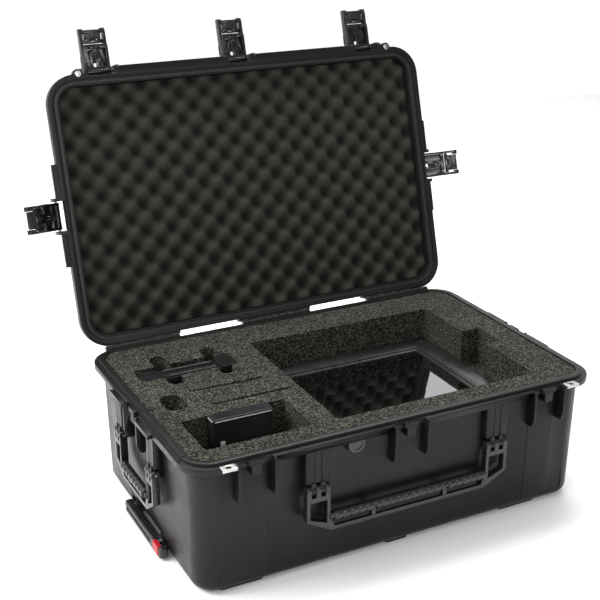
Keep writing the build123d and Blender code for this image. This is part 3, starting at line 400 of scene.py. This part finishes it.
def cut_block(node_name, name, voxel, seams, wobble):
    """A foam block cut by hand: crumbled edges, seams between its bonded layers, slightly uneven walls."""
    source = NODES[node_name]
    copy = bpy.data.objects.new("block_source", source.data.copy())
    bpy.context.scene.collection.objects.link(copy)
    remesh = copy.modifiers.new("cells", "REMESH")
    remesh.mode = "VOXEL"
    remesh.voxel_size = voxel
    remesh.use_smooth_shade = False
    graph = bpy.context.evaluated_depsgraph_get()
    mesh = bpy.data.meshes.new_from_object(copy.evaluated_get(graph))
    bpy.data.objects.remove(copy)
    low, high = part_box(node_name)
    normals = [v.normal.copy() for v in mesh.vertices]
    for vertex, normal in zip(mesh.vertices, normals):
        p = vertex.co
        shift = wobble * (noise.noise(p * 45) * 0.6 + noise.noise(p * 190) * 0.5) - wobble * 0.9
        wall = 1 - abs(normal.z)
        for number, seam in enumerate(seams):
            near = max(0.0, 1 - abs(p.z - seam) / (voxel * 0.9))
            shift -= 0.0011 * near * wall
            shift -= wall * 0.0004 * noise.noise(Vector((p.x * 9, p.y * 9, p.z * 420)))
            if p.z > seam:
                shift -= wall * 0.0005 * (0.5 + 0.5 * noise.noise(Vector((p.x * 6, p.y * 6, number * 7.3))))
        vertex.co = p + normal * shift
        for axis in range(3):
            vertex.co[axis] = min(max(vertex.co[axis], low[axis]), high[axis])
    mesh.update()
    obj = new_object(name, mesh, "foam", "base")
    shade(obj, 60)
    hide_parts(node_name)
    return obj


egg_crate()
FINE = 0.0015
WOBBLE = 0.0006
TOP_SEAMS = [RIM - 0.0265, RIM - 0.051]
LOWER_SEAMS = [RIM - 0.100, RIM - 0.125, RIM - 0.150]
cut_block("foam_top_block", "top_foam_insert", FINE, TOP_SEAMS, WOBBLE)
cut_block("foam_lower_block", "lower_foam_insert", FINE * 2.5, LOWER_SEAMS, WOBBLE)
cut_block("foam_bottom_pad", "bottom_foam_insert", FINE * 4, [], WOBBLE)

for node_name, node in NODES.items():
    slot = SLOT_OF[node_name]
    if slot in SOFT_EDGE:
        soften(node, SOFT_EDGE[slot])
    shade(node, 30)


# ---------------------------------------------------------------- studio
CAMERA_PLACE = (-0.93594, -1.69574, 0.87965 + RIM)
CAMERA_DOWN, CAMERA_TURN = 21.43, -26.887
FLOOR_SPAN, FLOOR_BACK = 14.0, 2.6
WHITE = (1, 1, 1, 1)
def studio():
    camera = bpy.data.objects.new("camera", bpy.data.cameras.new("camera"))
    bpy.context.scene.collection.objects.link(camera)
    camera.location = CAMERA_PLACE
    camera.rotation_euler = (math.radians(90 - CAMERA_DOWN), 0, math.radians(CAMERA_TURN))
    camera.data.sensor_width = 36
    camera.data.lens = 71.1
    camera.data.clip_end = 100
    bpy.context.scene.camera = camera

    floor_mesh = bpy.data.meshes.new("floor")
    span, back = FLOOR_SPAN, FLOOR_BACK
    corners = [(-span, -span, 0), (span, -span, 0), (span, back, 0), (-span, back, 0)]
    floor_mesh.from_pydata(corners, [], [(0, 1, 2, 3)])
    floor = bpy.data.objects.new("floor", floor_mesh)
    bpy.context.scene.collection.objects.link(floor)
    g = Graph("floor_paper")
    floor.data.materials.append(g.finish(grey(0.93), 0.7, Specular_IOR_Level=0.2))

    world = bpy.data.worlds.new("studio")
    bpy.context.scene.world = world
    world.use_nodes = True
    # bright behind the case and dimmer on the camera's side
    tree = world.node_tree
    backdrop = tree.nodes["Background"]
    direction = tree.nodes.new("ShaderNodeTexCoord")
    parts = tree.nodes.new("ShaderNodeSeparateXYZ")
    fade = tree.nodes.new("ShaderNodeMapRange")
    fade.inputs["From Min"].default_value = -0.35
    fade.inputs["From Max"].default_value = 0.45
    fade.inputs["To Min"].default_value = 0.42
    fade.inputs["To Max"].default_value = 1.05
    tree.links.new(direction.outputs["Generated"], parts.inputs[0])
    tree.links.new(parts.outputs["Y"], fade.inputs["Value"])
    tree.links.new(fade.outputs[0], backdrop.inputs["Strength"])
    backdrop.inputs["Color"].default_value = WHITE

    def softbox(name, place, aim, size, watts):
        light = bpy.data.lights.new(name, "AREA")
        light.shape = "RECTANGLE"
        light.size, light.size_y = size
        light.energy = watts
        obj = bpy.data.objects.new(name, light)
        bpy.context.scene.collection.objects.link(obj)
        obj.location = place
        obj.rotation_euler = (Vector(aim) - Vector(place)).to_track_quat("-Z", "Y").to_euler()

    softbox("key_left", (-2.3, 0.5, 1.9), (0, 0, 0.2), (1.2, 1.2), 62)
    softbox("top_back", (0.1, 1.0, 2.7), (0, 0.1, 0.2), (3.0, 1.6), 100)
    softbox("front_strip", (-0.3, -2.9, 1.7), (0, 0, 0.15), (2.6, 0.3), 34)
    softbox("floor_left", (-3.0, -1.5, 3.0), (-1.6, -0.8, 0), (2.0, 2.0), 55)
    bpy.context.scene.view_settings.view_transform = "Standard"


studio()
